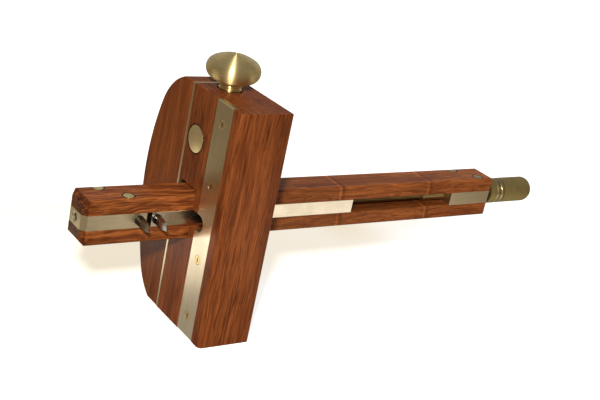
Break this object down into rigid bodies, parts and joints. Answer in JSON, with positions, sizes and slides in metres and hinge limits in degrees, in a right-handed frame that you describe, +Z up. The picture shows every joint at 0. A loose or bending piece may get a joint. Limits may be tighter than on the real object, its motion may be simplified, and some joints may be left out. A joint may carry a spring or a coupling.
{
  "type": "mortise gauge",
  "caption": "Wooden marking gauge with a tall stock, a sliding square stem, a brass lock knob, and one fixed and one screw-driven cutter.",
  "frame": {"origin": "centre of the stock's foot, below the stem's axis, on the flat face that the stock stands on", "axes": "+X along the stem from the cutters towards the adjuster, +Z up the stock towards the lock knob, -Y out of the stock's flat side, the way the cutters point"},
  "size_m": [0.2474, 0.0655, 0.1154],
  "materials": {
    "block_wood": "oiled and waxed red-brown hardwood, satin",
    "cheek_wood": "oiled and waxed red-brown hardwood, satin",
    "stem_wood": "oiled and waxed red-brown hardwood with dark streaks, satin",
    "liner_brass": "filed flush, dull",
    "strip_brass": "brushed along its length, satin",
    "screw_brass": "filed flush with the strip",
    "nut_brass": "faced flush, satin",
    "pad_brass": "satin",
    "knob_brass": "turned and brushed, satin",
    "lock_screw_brass": "threaded",
    "block_brass": "brushed along the stem, satin",
    "pin_brass": "filed flush",
    "cutter_steel": "ground bevel, polished rod",
    "grub_steel": "black oxide",
    "slide_brass": "brushed along the stem, satin",
    "lead_brass": "threaded",
    "adjuster_brass": "turned, fine knurl, aged"
  },
  "bodies": {
    "stock": {"stock_block": "block_wood", "round_cheek": "cheek_wood", "liner_plate": "liner_brass", "wear_strip": "strip_brass", "strip_screws": "screw_brass", "barrel_nut": "nut_brass"},
    "pad": {"pressure_pad": "pad_brass"},
    "lock": {"lock_knob": "knob_brass", "lock_screw": "lock_screw_brass"},
    "stem": {"stem_wood": "stem_wood", "tip_block": "block_brass", "tail_block": "block_brass", "tip_pins": "pin_brass", "tail_pins": "pin_brass", "fixed_cutter": "cutter_steel", "cutter_grub_screw": "grub_steel"},
    "slide": {"slide_bar": "slide_brass", "moving_cutter": "cutter_steel"},
    "adjuster": {"lead_screw": "lead_brass", "thrust_sleeve": "lead_brass", "adjuster_knob": "adjuster_brass"}
  },
  "joints": [
    {"name": "stem_slide", "type": "slide", "parent": "stock", "child": "stem", "axis": [1, 0, 0], "range_m": [-0.12, 0.028]},
    {"name": "pad_lift", "type": "slide", "parent": "stock", "child": "pad", "axis": [0, 0, 1], "range_m": [0, 0.0007]},
    {"name": "lock_turn", "type": "hinge", "parent": "pad", "child": "lock", "pos_m": [0, 0, 0.08], "axis": [0, 0, 1], "range_deg": [0, 252.1]},
    {"name": "adjuster_turn", "type": "hinge", "parent": "stem", "child": "adjuster", "pos_m": [0.12, 0, 0.0486], "axis": [-1, 0, 0], "range_deg": [-1029, 13372]},
    {"name": "slide_travel", "type": "slide", "parent": "stem", "child": "slide", "axis": [1, 0, 0], "range_m": [-0.002, 0.026]}
  ],
  "couplings": [
    {"joint": "lock_turn", "follows": "pad_lift", "rad_per_m": 6283.2},
    {"joint": "adjuster_turn", "follows": "slide_travel", "rad_per_m": 8976}
  ]
}
